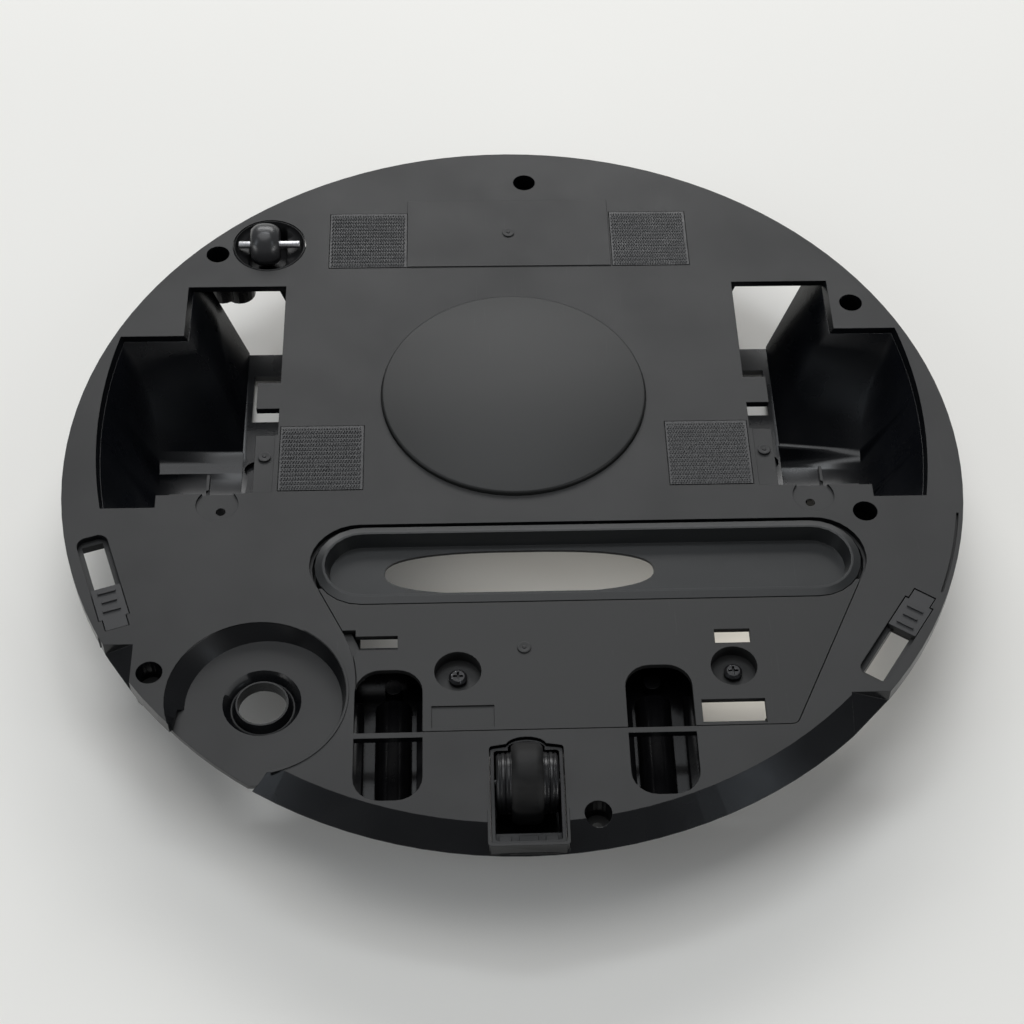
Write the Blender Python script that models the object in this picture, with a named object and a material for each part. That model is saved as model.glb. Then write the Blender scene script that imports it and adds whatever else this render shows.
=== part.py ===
"""Underside base of a disc-shaped robot vacuum, lying with its floor side up.

Metres, +Z up. The origin is under the middle of the disc, on the plane the base rests on.
The robot's front is -Y. Heights given as DEPTH or *_Z are measured from the floor plate,
whose upper face is at PLATE_Z; level() turns them into world heights.
"""

import math

import bmesh
import bpy
from mathutils import Matrix, Vector

MM = 0.001

# Driving dimensions of the disc
RIM_R = 160 * MM
PLATE_Z = 43.5 * MM
PLATE_T = 2.6 * MM
SKIRT_H = 5.5 * MM
SKIRT_T = 2.6 * MM
GAP = 0.3 * MM
PROUD = 1 * MM  # how far a cutter stands past the face it opens

# Front slope that runs down to the rim
SLOPE_INNER_R = 151 * MM
SLOPE_FROM_DEG, SLOPE_TO_DEG = 236.5, 316.2

# Drive wheel wells, given for the +X side
WELL_IN_X = 85.2 * MM
WELL_OUT_X = 122.1 * MM
WELL_FRONT_Y = -15.5 * MM
WELL_REAR_Y = 86.2 * MM
WELL_DEPTH = 38 * MM
WELL_LEAN = 0.5135  # how far the outer wall of the well leans in, per unit of depth
WELL_TABS = (
    ("lug", (84 * MM, 93.5 * MM), (24 * MM, 36.6 * MM)),
    ("strip", (84 * MM, 93 * MM), (-17 * MM, 11.3 * MM)),
    ("fin", (108.2 * MM, 109.2 * MM), (-17 * MM, -7 * MM)),
)
ARCH_Y = 19.7 * MM
ARCH_R = 41.1 * MM
ARCH_BULGE_R = 194 * MM
ARCH_OUT_X = 149.8 * MM
ARCH_LEAN = 0.4
ARCH_WALL = 2.6 * MM

# Suction mouth and the cover in front of it
MOUTH_Y = -48.4 * MM
MOUTH_HALF = 16.4 * MM
MOUTH_X = (-70.2 * MM, 118.2 * MM)
MOUTH_CREST = 0.9 * MM
SLOT_HALF = 12.9 * MM
SLOT_DEPTH = 5 * MM
LENS_HALF = (46.5 * MM, 9.3 * MM)
LENS_POWER = 2.6
BAY_DEPTH = 8 * MM
BAY_LEDGE = 3 * MM
COVER_T = 1.9 * MM
COVER_SCREWS = ((-21.7 * MM, -93 * MM), (70 * MM, -93 * MM))
SCREW_CUP_R = 7.8 * MM
SCREW_CUP_DEPTH = 5 * MM

# Racetrack openings over the two charging contact trays
TRACK_X = 44.4 * MM
TRACK_HALF = 11.1 * MM
TRACK_Y = (-141.8 * MM, -92 * MM)
BAR_Y = (-118.5 * MM, -116.2 * MM)
TRAY_DEPTH = 14.5 * MM
RAIL_R = 6 * MM
RAIL_SHIFT = -1.2 * MM
RAIL_END_Y = -98.5 * MM

# Side brush recess
BRUSH = (-87.75 * MM, -100.9 * MM)
BRUSH_TOP_R = 29.5 * MM
BRUSH_FLOOR_R = 25.8 * MM
BRUSH_DEPTH = 6 * MM
BRUSH_FLOOR = (-85.5 * MM, -100.9 * MM)
BRUSH_BORE = (-86.1 * MM, -99.8 * MM)
BRUSH_BORE_R = 8.1 * MM

# Front roller: its pin lies along X
FRONT_AXIS = (-134 * MM, -4.4 * MM)  # y, height from the plate
TREAD_R, TREAD_HALF = 13.2 * MM, 5.4 * MM
SHOULDER_R, ROLLER_HALF = 9.9 * MM, 9.9 * MM
FRONT_PIN_R, FRONT_PIN_HALF = 1.5 * MM, 11.3 * MM
SOCKET_HALF_X = 12 * MM
SOCKET_Y = (-158.3 * MM, -122.4 * MM)
SOCKET_DEPTH = 21 * MM

# Rear roller and its round cup: its pin lies along X
CUP = (-92.6 * MM, 108.6 * MM)
CUP_R = 13.8 * MM
CUP_DEPTH = 11.5 * MM
REAR_ROLLER_R, REAR_ROLLER_HALF = 8.2 * MM, 5.4 * MM
REAR_ROLLER_X = -94 * MM
REAR_PIN_R, REAR_PIN_HALF = 1.4 * MM, 11.7 * MM
REAR_AXIS_Z = 0.4 * MM

# Sliding latches: pocket ends, and where the slider rests from the first end
LATCH_WIDTH = 10.7 * MM
LATCH_WINDOW = 7.2 * MM
LATCH_DEPTH = 2.4 * MM
SLIDER_LENGTH = 18.2 * MM
LATCHES = {
    "left": ((-134.7 * MM, -72.8 * MM), (-147.5 * MM, -33.8 * MM)),
    "right": ((138.5 * MM, -64.6 * MM), (115.3 * MM, -98.8 * MM)),
}

# Body screw bosses: x, y and how deep each boss reaches
BOSS_R = 5.9 * MM
BOSS_BORE_R = 4.4 * MM
REST = -PLATE_Z
BOSSES = (
    (7 * MM, 143 * MM, REST),
    (-112.1 * MM, 103.9 * MM, -21 * MM),
    (130.2 * MM, 74.3 * MM, -21 * MM),
    (122.5 * MM, -28.1 * MM, -21 * MM),
    (-122.8 * MM, -91 * MM, -12 * MM),
    (22 * MM, -148 * MM, -12 * MM),
)
DECK_POSTS = ((-18 * MM, -104 * MM), (18 * MM, -104 * MM))
DECK_POST_R = 5 * MM
INNER_BOSS = (-105.6 * MM, 105.2 * MM, -22.5 * MM)

# Round cap and the hook fastener patches
CAP = (0, 30 * MM)
CAP_R = 48.3 * MM
CAP_PROUD = 1.7 * MM
PATCH_SIZE = 29.6 * MM
PATCHES = {
    "hook_patch_rear_left": (-54.4 * MM, 110.6 * MM),
    "hook_patch_rear_right": (54.9 * MM, 110.6 * MM),
    "hook_patch_middle_left": (-69.3 * MM, 0.2 * MM),
    "hook_patch_middle_right": (69.3 * MM, 0.2 * MM),
}


def level(z):
    """A height measured from the floor plate, as a world height."""
    return PLATE_Z + z


def clear_scene():
    for obj in list(bpy.data.objects):
        bpy.data.objects.remove(obj, do_unlink=True)


def make_material(name, color, roughness, metallic=0.0):
    material = bpy.data.materials.new(name)
    material.use_nodes = True
    shader = material.node_tree.nodes["Principled BSDF"]
    shader.inputs["Base Color"].default_value = (*color, 1)
    shader.inputs["Roughness"].default_value = roughness
    shader.inputs["Metallic"].default_value = metallic
    return material


# ---------- outlines ----------


def arc(center, radius, start_deg, end_deg, steps):
    """Points on an arc, both ends included."""
    points = []
    for i in range(steps + 1):
        angle = math.radians(start_deg + (end_deg - start_deg) * i / steps)
        points.append((center[0] + radius * math.cos(angle), center[1] + radius * math.sin(angle)))
    return points


def circle(center, radius, steps):
    return arc(center, radius, 0, 360, steps)[:-1]


def rounded(corners, steps=4):
    """An outline through (x, y, radius) corners, each one rounded."""
    points = []
    count = len(corners)
    for i, (x, y, radius) in enumerate(corners):
        corner = Vector((x, y))
        to_last = (Vector(corners[i - 1][:2]) - corner).normalized()
        to_next = (Vector(corners[(i + 1) % count][:2]) - corner).normalized()
        half = to_last.angle(to_next) / 2
        if radius == 0:
            points.append((x, y))
            continue
        middle = corner + (to_last + to_next).normalized() * radius / math.sin(half)
        first = corner + to_last * radius / math.tan(half) - middle
        last = corner + to_next * radius / math.tan(half) - middle
        turn = first.angle_signed(last)
        for k in range(steps + 1):
            spot = middle + Matrix.Rotation(-turn * k / steps, 2) @ first
            points.append((spot.x, spot.y))
    return points


def rectangle(x0, x1, y0, y1, radius=0, steps=3):
    return rounded([(x1, y1, radius), (x0, y1, radius), (x0, y0, radius), (x1, y0, radius)], steps)


def stadium(x0, x1, y, half, steps=12):
    right = arc((x1 - half, y), half, -90, 90, steps)
    return right + arc((x0 + half, y), half, 90, 270, steps)


def offset(outline, distance):
    """The outline moved outward by distance, or inward if it is negative."""
    moved = []
    count = len(outline)
    for i in range(count):
        last = Vector(outline[i - 1])
        here = Vector(outline[i])
        after = Vector(outline[(i + 1) % count])
        edge_in = (here - last).normalized()
        edge_out = (after - here).normalized()
        normal_in = Vector((edge_in.y, -edge_in.x))
        normal_out = Vector((edge_out.y, -edge_out.x))
        normal = (normal_in + normal_out).normalized()
        spot = here + normal * distance / max(normal.dot(normal_in), 0.5)
        moved.append((spot.x, spot.y))
    return moved


# ---------- solids ----------


def add_object(name, bm, material=None):
    bmesh.ops.recalc_face_normals(bm, faces=bm.faces)
    mesh = bpy.data.meshes.new(name)
    bm.to_mesh(mesh)
    bm.free()
    obj = bpy.data.objects.new(name, mesh)
    bpy.context.scene.collection.objects.link(obj)
    if material:
        mesh.materials.append(material)
    return obj


def loft(name, rings, material=None):
    """A closed solid through rings of 3-D points, all with the same number of points."""
    bm = bmesh.new()
    loops = [[bm.verts.new(point) for point in ring] for ring in rings]
    count = len(rings[0])
    for lower, upper in zip(loops, loops[1:]):
        for i in range(count):
            j = (i + 1) % count
            bm.faces.new((lower[i], lower[j], upper[j], upper[i]))
    bm.faces.new(list(reversed(loops[0])))
    bm.faces.new(loops[-1])
    return add_object(name, bm, material)


def at_height(outline, z):
    return [(x, y, level(z)) for x, y in outline]


def prism(name, outline, z0, z1, material=None):
    return loft(name, [at_height(outline, z0), at_height(outline, z1)], material)


def box(name, x, y, z, material=None):
    return prism(name, rectangle(*x, *y), *z, material)


def post(name, center, radius, z0, z1, steps=20, material=None):
    return prism(name, circle(center, radius, steps), z0, z1, material)


def turned_z(name, center, profile, steps, material=None):
    """A solid turned about a vertical axis from (radius, z) pairs, lowest first."""
    rings = [at_height(circle(center, radius, steps), z) for radius, z in profile]
    return loft(name, rings, material)


def turned_x(name, profile, steps, material=None):
    """A solid turned about its own X axis from (x, radius) pairs."""
    rings = []
    for x, radius in profile:
        rings.append([(x, y, z) for y, z in circle((0, 0), radius, steps)])
    return loft(name, rings, material)


def sector_ring(name, profile, start_deg, end_deg, steps):
    """A (radius, z) outline swept about the disc's axis through part of a turn."""
    rings = []
    for i in range(steps + 1):
        angle = math.radians(start_deg + (end_deg - start_deg) * i / steps)
        rings.append([(r * math.cos(angle), r * math.sin(angle), level(z)) for r, z in profile])
    return loft(name, rings)


def combine(target, operation, parts):
    """Boolean every part into the target. The parts become hidden helpers."""
    group = bpy.data.collections.new(f"{target.name}_{operation.lower()}_{len(target.modifiers)}")
    bpy.context.scene.collection.children.link(group)
    for part in parts:
        bpy.context.scene.collection.objects.unlink(part)
        group.objects.link(part)
        part.hide_render = True
        part.display_type = "WIRE"
    modifier = target.modifiers.new(operation.title(), "BOOLEAN")
    modifier.operation = operation
    modifier.operand_type = "COLLECTION"
    modifier.collection = group
    modifier.solver = "EXACT"


def smooth(obj, degrees=35):
    obj.data.shade_smooth()
    obj.data.set_sharp_from_angle(angle=math.radians(degrees))


# ---------- shared outlines ----------


def bay_outline(grow=0.0):
    """The opening of the floor plate that the suction mouth and its cover fill."""
    sharp = [
        (120.3 * MM, -30.5 * MM),
        (-72 * MM, -30.5 * MM),
        (-72 * MM, -51.4 * MM),
        (-55.2 * MM, -86.3 * MM),
        (-55.2 * MM, -116.5 * MM),
        (88.9 * MM, -116.5 * MM),
        (120.3 * MM, -51.4 * MM),
    ]
    radii = (17 * MM, 17 * MM, 17 * MM, 48 * MM, 0.6 * MM, 3 * MM, 17 * MM)
    corners = []
    for (x, y), radius in zip(offset(sharp, grow), radii):
        corners.append((x, y, max(radius + grow, 0.5 * MM)))
    return rounded(corners, 8)


def track_outline(side, grow=0.0):
    half = TRACK_HALF + grow
    x = side * TRACK_X
    y0, y1 = TRACK_Y[0] - grow, TRACK_Y[1] + grow
    soft = 8.5 * MM
    return rounded(
        [(x + half, y1, soft), (x - half, y1, soft), (x - half, y0, soft), (x + half, y0, soft)], 6
    )


def socket_outline(grow=0.0):
    """The castor socket: a rectangle with a round bump at its rear for the tread."""
    half = SOCKET_HALF_X + grow
    bump = 6.6 * MM + grow
    front, rear = SOCKET_Y[0] - grow, SOCKET_Y[1] + grow
    soft = 1.2 * MM
    points = rounded([(-half, rear, soft), (-half, front, soft), (half, front, soft), (half, rear, soft)])
    return points + [(x, rear + 0.5 * y) for x, y in arc((0, 0), bump, 12, 168, 10)]


def lens_outline(steps=48):
    points = []
    for i in range(steps):
        angle = 2 * math.pi * i / steps
        c, s = math.cos(angle), math.sin(angle)
        x = LENS_HALF[0] * math.copysign(abs(c) ** (2 / LENS_POWER), c)
        y = LENS_HALF[1] * math.copysign(abs(s) ** (2 / LENS_POWER), s)
        points.append((x, MOUTH_Y + y))
    return points


def latch_frame(side):
    """Start point, unit direction along the pocket, its unit normal and its length."""
    start, end = (Vector(point) for point in LATCHES[side])
    along = (end - start).normalized()
    return start, along, Vector((-along.y, along.x)), (end - start).length


def latch_outline(side, spans):
    """A closed outline from (distance along, half width) pairs down one side and back up the other."""
    start, along, across, _ = latch_frame(side)
    right = [start + along * u + across * w for u, w in spans]
    left = [start + along * u - across * w for u, w in reversed(spans)]
    return [tuple(point) for point in reversed(right + left)]


# ---------- drive wheel wells ----------


def arch_block(name, side, radius, widen, top, lowest, inset, material=None):
    """Half a drum lying along X, from the leaning wall of the well out to its bowed outer wall."""
    rings = []
    for y, z in arc((ARCH_Y, 0), radius, 180, 360, 41):
        shoulder = min(top - 0.1 * MM, 0)
        low = max(min(z, shoulder - 0.2 * MM), lowest)
        bow = ARCH_OUT_X - ARCH_BULGE_R + math.sqrt(ARCH_BULGE_R**2 - (y - ARCH_Y) ** 2) + widen
        ring = []
        for height in (top, shoulder, low):
            ring.append((side * (WELL_OUT_X + WELL_LEAN * min(height, 0) - inset), y, level(height)))
        for height in (low, shoulder, top):
            ring.append((side * (bow + ARCH_LEAN * min(height, 0)), y, level(height)))
        rings.append(ring)
    return loft(name, rings, material)


def well_block(name, side, heights, widen, front, rear):
    """The inner part of a wheel well, with its outer wall leaning in."""
    rings = []
    for z in heights:
        outer = WELL_OUT_X + WELL_LEAN * min(z, 0) + widen
        inner = WELL_IN_X - widen
        rings.append(at_height(rectangle(side * inner, side * outer, front, rear), z))
    return loft(name, rings)


def well_cutters(side, depth):
    arch = arch_block(f"arch_cut_{side}", side, ARCH_R, 0, PROUD, -ARCH_R, 0.3 * MM)
    block = well_block(f"well_cut_{side}", side, (-depth, 0, PROUD), 0, WELL_FRONT_Y, WELL_REAR_Y)
    return [arch, block]


def wheel_arch(label, side, material):
    """The glossy liner that closes a wheel well from inside."""
    top = -PLATE_T - GAP
    wall = ARCH_WALL
    body = arch_block(f"wheel_arch_{label}", side, ARCH_R + wall, wall, top, REST, 0, material)
    block = well_block(
        f"well_block_{side}", side, (-WELL_DEPTH - wall, top), wall, WELL_FRONT_Y - wall, WELL_REAR_Y
    )
    front, rear = WELL_REAR_Y - 2 * MM, WELL_REAR_Y + 11 * MM
    fin = []
    for y, z in ((front, top), (rear, top), (rear, -14 * MM), (front + 3 * MM, -WELL_DEPTH), (front, -WELL_DEPTH)):
        fin.append((y, z, WELL_OUT_X + WELL_LEAN * z))
    rear_fin = loft(
        f"well_fin_{side}",
        [
            [(side * x, y, level(z)) for y, z, x in fin],
            [(side * (x + wall), y, level(z)) for y, z, x in fin],
        ],
    )
    combine(body, "UNION", [block, rear_fin])
    cuts = well_cutters(side, WELL_DEPTH)
    open_rear = well_block(
        f"well_open_{side}", side, (-WELL_DEPTH, -1 * MM), 0, WELL_REAR_Y - 4 * MM, WELL_REAR_Y + 34 * MM
    )
    low, high = sorted((side * 84 * MM, side * 99.9 * MM))
    window = box(f"well_window_{side}", (low, high), (50.9 * MM, 74.6 * MM), (-45 * MM, -30 * MM))
    spot = (side * 97.6 * MM, 27 * MM)
    wire_hole = post(f"wire_hole_{side}", spot, 3.8 * MM, -WELL_DEPTH - 1.9 * MM, -30 * MM)
    inner_r = RIM_R - SKIRT_T - GAP
    rim_room = sector_ring(
        f"rim_room_{side}",
        [(inner_r, 0), (inner_r, -SKIRT_H - GAP), (inner_r + 9 * MM, -SKIRT_H - GAP), (inner_r + 9 * MM, 0)],
        90 - side * 120,
        90 - side * 30,
        30,
    )
    boss_room = []
    for i, (x, y, _) in enumerate((*BOSSES, INNER_BOSS)):
        boss_room.append(post(f"boss_room_{side}_{i}", (x, y), BOSS_R + GAP, REST - 1 * MM, 0))
    combine(body, "DIFFERENCE", [*cuts, open_rear, window, wire_hole, rim_room, *boss_room])
    smooth(body)


# ---------- bottom shell ----------


def side_brush_parts():
    """What the side brush recess adds to the shell, and what it removes."""
    floor = -BRUSH_DEPTH
    tub = turned_z(
        "brush_tub",
        BRUSH,
        [(BRUSH_TOP_R + 1 * MM, floor - 2 * MM), (BRUSH_TOP_R + 2 * MM, -1.2 * MM)],
        48,
    )
    keep_in = post("brush_rim", (0, 0), RIM_R - 1.2 * MM, floor - 3 * MM, 0, 120)
    combine(tub, "INTERSECT", [keep_in])
    dish = loft(
        "brush_dish",
        [
            at_height(circle(BRUSH_FLOOR, BRUSH_FLOOR_R, 56), floor),
            at_height(circle(BRUSH, BRUSH_TOP_R, 56), -0.5 * MM),
            at_height(circle(BRUSH, BRUSH_TOP_R, 56), PROUD),
        ],
    )
    mouth = [
        (-88.4 * MM, -137 * MM),
        (-87.6 * MM, -134 * MM),
        (-84.8 * MM, -131.6 * MM),
        (-80 * MM, -126 * MM),
        (-104 * MM, -98 * MM),
        (-113.2 * MM, -103 * MM),
        (-114.4 * MM, -110 * MM),
        (-117 * MM, -112.5 * MM),
        (-128 * MM, -124 * MM),
        (-104 * MM, -148 * MM),
    ]
    way_out = prism("brush_way_out", mouth, floor, PROUD)
    groove = turned_z(
        "hub_groove",
        BRUSH_BORE,
        [(10.6 * MM, floor - 3.4 * MM), (12.9 * MM, floor), (12.9 * MM, floor + 1 * MM)],
        36,
    )
    collar = turned_z(
        "hub_collar", BRUSH_BORE, [(10.4 * MM, floor - 4 * MM), (8.7 * MM, floor - 0.3 * MM)], 36
    )
    combine(groove, "DIFFERENCE", [collar])
    bore = post("brush_bore", BRUSH_BORE, BRUSH_BORE_R, floor - 8 * MM, PROUD, 36)
    hub = post("brush_hub", BRUSH_BORE, 14.6 * MM, floor - 5.2 * MM, floor - 1 * MM, 36)
    return [tub, hub], [dish, way_out, groove, bore]


def brush_lip():
    """The thin raised line round the right and front of the recess, down to the rim."""
    inner, outer = BRUSH_TOP_R + 0.15 * MM, BRUSH_TOP_R + 0.95 * MM
    outline = arc(BRUSH, outer, -78, 60, 34) + arc(BRUSH, inner, 60, -78, 34)
    return prism("brush_lip", outline, -1.3 * MM, 0.35 * MM)


def latch_pocket_parts(side):
    """What a latch pocket adds to the shell, and what it removes."""
    _, _, _, length = latch_frame(side)
    half = LATCH_WIDTH / 2
    step = 4.6 * MM
    narrow = half - 1.2 * MM
    block = prism(
        f"latch_block_{side}",
        latch_outline(side, [(-2 * MM, half + 1.6 * MM), (length + 2 * MM, half + 1.6 * MM)]),
        -SKIRT_H + 0.1 * MM,
        -1.2 * MM,
    )
    pocket = prism(
        f"latch_pocket_{side}",
        latch_outline(
            side,
            [
                (0, narrow),
                (step, narrow),
                (step + 0.01 * MM, half),
                *arc((length - 3.6 * MM, half - 3.6 * MM), 3.6 * MM, 90, 10, 5),
            ],
        ),
        -LATCH_DEPTH,
        PROUD,
    )
    window_half = LATCH_WINDOW / 2
    window = prism(
        f"latch_window_{side}",
        latch_outline(side, [(3 * MM, window_half), (length - 2.2 * MM, window_half)]),
        -8 * MM,
        PROUD,
    )
    return [block], [pocket, window]


def front_slope_cutter():
    profile = [
        (SLOPE_INNER_R, PROUD),
        (SLOPE_INNER_R, 0),
        (RIM_R + 1 * MM, -SKIRT_H - 0.4 * MM),
        (RIM_R + 6 * MM, -SKIRT_H - 0.4 * MM),
        (RIM_R + 6 * MM, PROUD),
    ]
    return sector_ring("front_slope", profile, SLOPE_FROM_DEG, SLOPE_TO_DEG, 28)


def rim_facet(name, corner, run):
    """A plane that falls to the rim from a corner of the plate, over run.x sideways and run.y forward."""
    x0, y0 = corner
    reach = 1.35
    rings = []
    for top in (False, True):
        ring = []
        for i, j in ((0, 0), (reach, 0), (reach, reach), (0, reach)):
            fall = PROUD if top else -SKIRT_H * (i + j)
            ring.append((x0 + i * run[0], y0 - j * run[1], level(fall)))
        rings.append(ring)
    return loft(name, rings)


def ear_parts(side):
    """The sunk ear at the front of a wheel well that takes the wheel module's screw."""
    center = (side * 105 * MM, -20.4 * MM)
    sunk = post(f"ear_{side}", center, 7.4 * MM, -0.8 * MM, PROUD, 28)
    hole = post(f"ear_hole_{side}", (side * 103.6 * MM, -23.2 * MM), 1.7 * MM, -8 * MM, PROUD, 12)
    return [sunk, hole]


def rear_rib():
    """The wall behind the battery room, narrower at its foot."""
    rings = []
    for half, z in ((81.5 * MM, REST), (94.5 * MM, -1.2 * MM)):
        rings.append(at_height(rectangle(-half, half, 100.6 * MM, 102.8 * MM), z))
    return loft("rear_rib", rings)


def bottom_shell(material):
    shell = post("bottom_shell", (0, 0), RIM_R, -SKIRT_H, 0, 120, material)
    hollow = post("hollow", (0, 0), RIM_R - SKIRT_T, -SKIRT_H - 1 * MM, -PLATE_T, 120)
    combine(shell, "DIFFERENCE", [hollow])

    adds = [
        prism("bay_block", bay_outline(2 * MM), -BAY_DEPTH - 2 * MM, -1.2 * MM),
        prism("socket_wall", socket_outline(1 * MM), -SKIRT_H + 0.1 * MM, -0.5 * MM),
        sector_ring(
            "slope_backing",
            [(146 * MM, -1.4 * MM), (157.8 * MM, -1.4 * MM), (157.8 * MM, -5.3 * MM), (152 * MM, -5.3 * MM)],
            203,
            325,
            34,
        ),
        rear_rib(),
    ]
    for i, (x, y, bottom) in enumerate(BOSSES):
        adds.append(post(f"boss_{i}", (x, y), BOSS_R, bottom, -1.2 * MM))
    adds.append(post("inner_boss", INNER_BOSS[:2], BOSS_R, INNER_BOSS[2], -1.2 * MM))
    for i, spot in enumerate(DECK_POSTS):
        adds.append(post(f"deck_post_{i}", spot, DECK_POST_R, REST, -BAY_DEPTH - 1 * MM))
    cuts = [
        prism("bay_seat", bay_outline(), -COVER_T - GAP, PROUD),
        prism("bay_hollow", bay_outline(-BAY_LEDGE), -BAY_DEPTH, -1 * MM),
        prism("bay_mouth", stadium(-71.2 * MM, 119.5 * MM, -48 * MM, 16.2 * MM), -BAY_DEPTH, -1 * MM),
        prism("duct_opening", stadium(-64 * MM, 112 * MM, -43.5 * MM, 13.5 * MM), -12 * MM, -6 * MM),
        box("bay_window_rear", (62 * MM, 82 * MM), (-85 * MM, -70 * MM), (-12 * MM, -6 * MM)),
        box("bay_window_left", (-54.5 * MM, -41.8 * MM), (-84.6 * MM, -70 * MM), (-12 * MM, -6 * MM)),
        prism(
            "bay_window_front",
            rounded(
                [
                    (81.5 * MM, -97.5 * MM, 0),
                    (56.5 * MM, -97.5 * MM, 0),
                    (56.5 * MM, -112 * MM, 0),
                    (81.5 * MM, -112 * MM, 7.5 * MM),
                ]
            ),
            -12 * MM,
            -6 * MM,
        ),
        post("rear_cup_hole", CUP, CUP_R + GAP, -12 * MM, PROUD, 40),
        post("cap_seat", CAP, CAP_R + GAP, -1.2 * MM, PROUD, 72),
        front_slope_cutter(),
        rim_facet("rim_facet_right", (108 * MM, -104.5 * MM), (13 * MM, 13.5 * MM)),
        rim_facet("rim_facet_left", (-129 * MM, -79.5 * MM), (-10 * MM, 15 * MM)),
        sector_ring(
            "rim_slot",
            [(157.6 * MM, -1.4 * MM), (158.4 * MM, -1.4 * MM), (158.4 * MM, PROUD), (157.6 * MM, PROUD)],
            -24,
            -10.8,
            10,
        ),
    ]
    for side in (-1, 1):
        well = well_cutters(side, 6 * MM)
        kept = []
        for label, x, y in WELL_TABS:
            span = sorted((side * x[0], side * x[1]))
            kept.append(box(f"{label}_{side}", span, y, (-PLATE_T, 2 * PROUD)))
        combine(well[1], "DIFFERENCE", kept)
        step_x = sorted((side * 112 * MM, side * 126.5 * MM))
        step = box(f"well_step_{side}", step_x, (-24 * MM, WELL_FRONT_Y - 0.4 * MM), (-9 * MM, 2 * PROUD))
        combine(well[0], "DIFFERENCE", [step])
        cuts += well
        cuts.append(
            box(
                f"strip_top_{side}",
                sorted((side * 86.2 * MM, side * 93.6 * MM)),
                (-15.2 * MM, 11.9 * MM),
                (-0.3 * MM, PROUD),
            )
        )
        cuts += ear_parts(side)
        track = prism(f"track_cut_{side}", track_outline(side), -12 * MM, PROUD)
        bar_x = (side * TRACK_X - 13 * MM, side * TRACK_X + 13 * MM)
        combine(track, "DIFFERENCE", [box(f"track_bar_{side}", bar_x, BAR_Y, (-PLATE_T, 2 * PROUD))])
        cuts.append(track)
        tray_seat = rectangle(
            side * TRACK_X - 14 * MM, side * TRACK_X + 14 * MM, -144 * MM, -80 * MM
        )
        cuts.append(prism(f"tray_room_{side}", tray_seat, -12 * MM, -PLATE_T))
    for name, (x, y) in PATCHES.items():
        half = PATCH_SIZE / 2 + GAP
        cuts.append(box(f"{name}_seat", (x - half, x + half), (y - half, y + half), (-0.9 * MM, PROUD)))
    for i, (x, y, bottom) in enumerate(BOSSES):
        cuts.append(post(f"bore_{i}", (x, y), BOSS_BORE_R, bottom + 3 * MM, PROUD))
        cuts.append(post(f"pilot_{i}", (x, y), 1.8 * MM, bottom - 1 * MM, bottom + 4 * MM, 12))
    for i, spot in enumerate(DECK_POSTS):
        cuts.append(post(f"deck_pilot_{i}", spot, 1.6 * MM, REST - 1 * MM, REST + 9 * MM, 12))

    brush_adds, brush_cuts = side_brush_parts()
    adds += brush_adds
    cuts += brush_cuts
    for side in LATCHES:
        pocket_adds, pocket_cuts = latch_pocket_parts(side)
        adds += pocket_adds
        cuts += pocket_cuts
    combine(shell, "UNION", adds)
    combine(shell, "DIFFERENCE", cuts)

    seats = []
    for i, (x, y) in enumerate(COVER_SCREWS):
        top = -SCREW_CUP_DEPTH - 1.9 * MM
        seats.append(post(f"cover_boss_{i}", (x, y), 4 * MM, -BAY_DEPTH - 1 * MM, top))
    collar = prism("socket_collar", socket_outline(0.9 * MM), -SKIRT_H + 0.3 * MM, 0.15 * MM)
    collar_rear = box("collar_rear", (-20 * MM, 20 * MM), (-146 * MM, -110 * MM), (-9 * MM, 3 * MM))
    combine(collar, "DIFFERENCE", [collar_rear])
    rear_pad = box("rear_pad", (-39.3 * MM, 39.3 * MM), (95.8 * MM, 132.4 * MM), (-1.3 * MM, 0.35 * MM))
    combine(shell, "UNION", [*seats, collar, brush_lip(), rear_pad])
    last = [prism("socket_cut", socket_outline(), -12 * MM, PROUD)]
    for i, (x, y) in enumerate(COVER_SCREWS):
        last.append(post(f"cover_pilot_{i}", (x, y), 1.6 * MM, -12 * MM, -SCREW_CUP_DEPTH, 12))
    combine(shell, "DIFFERENCE", last)
    smooth(shell)


# ---------- suction mouth, cover and their screws ----------


def suction_mouth(material):
    """The stadium-shaped mouth with a raised lip and a lens-shaped opening in its floor."""
    x0, x1 = MOUTH_X
    mouth = loft(
        "suction_mouth",
        [
            at_height(stadium(x0, x1, MOUTH_Y, MOUTH_HALF), -BAY_DEPTH + GAP),
            at_height(stadium(x0, x1, MOUTH_Y, MOUTH_HALF), 0.1 * MM),
            at_height(stadium(x0 + 2.6 * MM, x1 - 2.6 * MM, MOUTH_Y, MOUTH_HALF - 2.6 * MM), MOUTH_CREST),
        ],
        material,
    )
    grow = MOUTH_HALF - SLOT_HALF
    slot = loft(
        "mouth_slot",
        [
            at_height(
                stadium(x0 + grow + 1.4 * MM, x1 - grow - 1.4 * MM, MOUTH_Y, SLOT_HALF - 1.4 * MM),
                -SLOT_DEPTH,
            ),
            at_height(stadium(x0 + grow, x1 - grow, MOUTH_Y, SLOT_HALF), MOUTH_CREST - 0.4 * MM),
            at_height(stadium(x0 + grow, x1 - grow, MOUTH_Y, SLOT_HALF), MOUTH_CREST + PROUD),
        ],
    )
    under = prism(
        "mouth_under",
        stadium(x0 + 4 * MM, x1 - 4 * MM, MOUTH_Y, MOUTH_HALF - 4 * MM),
        -BAY_DEPTH - PROUD,
        -SLOT_DEPTH - 1.1 * MM,
    )
    lens = prism("mouth_lens", lens_outline(), -BAY_DEPTH, 0)
    combine(mouth, "DIFFERENCE", [slot, under, lens])
    smooth(mouth)


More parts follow.
